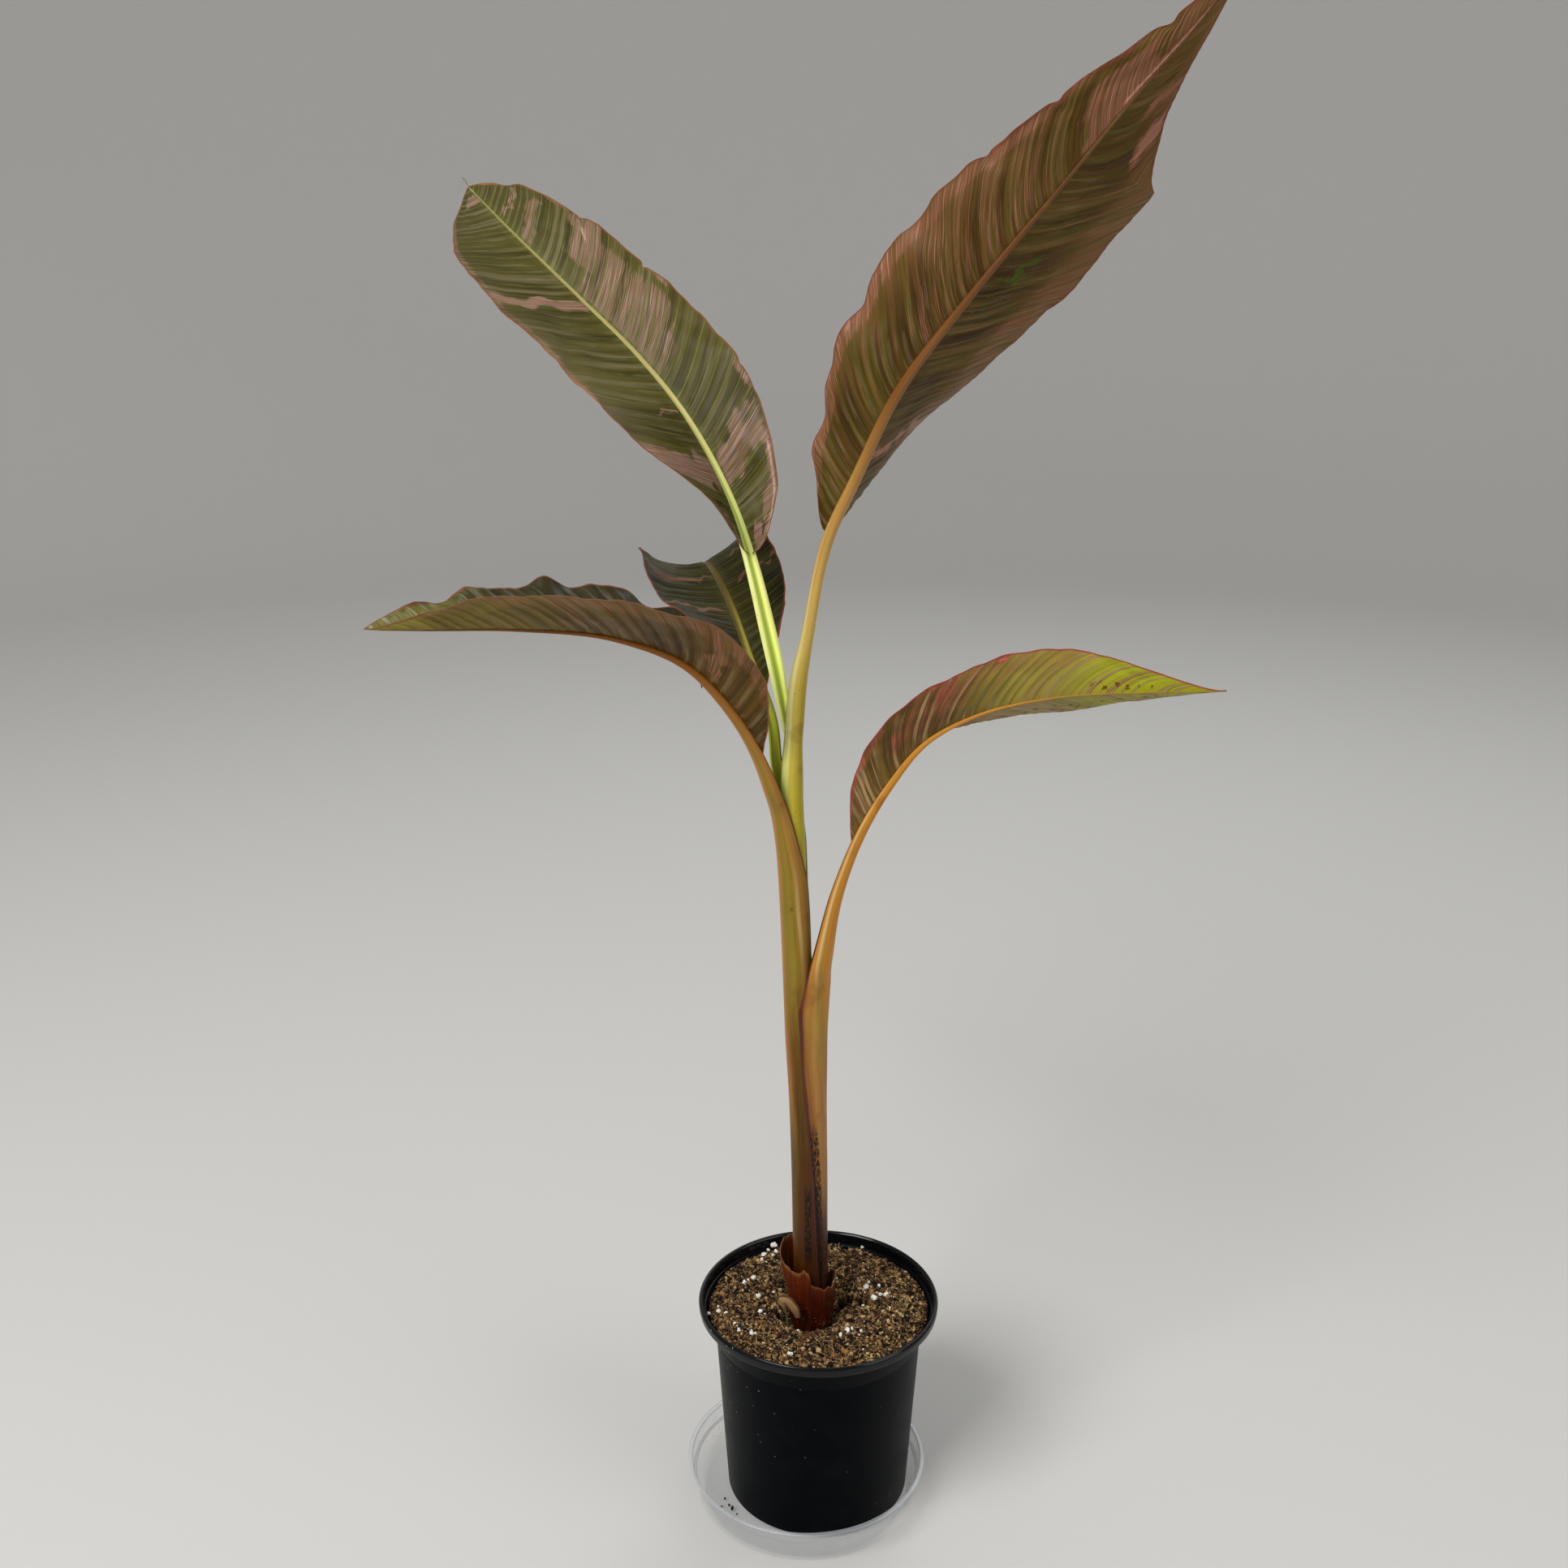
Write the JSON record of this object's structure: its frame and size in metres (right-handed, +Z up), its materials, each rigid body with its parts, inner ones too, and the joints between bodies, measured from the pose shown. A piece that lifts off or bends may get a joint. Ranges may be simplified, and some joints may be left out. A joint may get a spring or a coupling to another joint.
{
  "type": "potted banana plant",
  "caption": "Young banana plant with long arching leaves on channelled stalks from a stem of rolled sheaths, in a round nursery pot of peat that stands in a shallow clear saucer.",
  "frame": {"origin": "on the ground under the saucer, on the pot's axis", "axes": "+Z up along the pot's axis; +X to the right and +Y away, seen from the front"},
  "size_m": [0.4705, 0.3378, 0.9008],
  "materials": {
    "saucer": "clear moulded plastic, glossy",
    "pot": "black moulded plastic with a soft sheen",
    "soil": "brown fibrous peat with white perlite grains",
    "stem": "smooth waxy leaf sheath, ochre with brown stains, dark at the foot",
    "stalk_olive": "glossy olive-yellow leaf sheath and stalk",
    "stalk_lime": "smooth lime-green leaf stalk",
    "stalk_ochre": "smooth ochre leaf sheath and stalk",
    "old_sheath": "glossy dark mahogany dried sheath",
    "dry_strip": "dull tan dried strip",
    "blade_right_upper": "olive-brown underside with silvery pink streaks",
    "blade_left_upper": "dark olive green upper side with pinkish brown bands",
    "blade_left_lower": "pleated olive-brown underside with pink tints",
    "blade_right_lower": "brownish pink to yellow-green underside",
    "blade_back": "dark green upper side with pinkish brown streaks"
  },
  "bodies": {
    "root": {"saucer": "saucer", "pot": "pot", "soil": "soil", "stem": "stem", "sheath_inner": "stalk_olive", "old_sheath_left": "old_sheath", "old_sheath_right": "old_sheath", "dry_strip": "dry_strip", "stalk_right_upper": "stalk_olive", "blade_right_upper": "blade_right_upper", "stalk_left_upper": "stalk_lime", "blade_left_upper": "blade_left_upper", "stalk_left_lower": "stalk_ochre", "blade_left_lower_1": "blade_left_lower", "blade_left_lower_2": "blade_left_lower", "stalk_right_lower": "stalk_ochre", "blade_right_lower_1": "blade_right_lower", "blade_right_lower_2": "blade_right_lower", "stalk_back": "stalk_lime", "blade_back_1": "blade_back", "blade_back_2": "blade_back", "blade_back_3": "blade_back"}
  },
  "joints": []
}
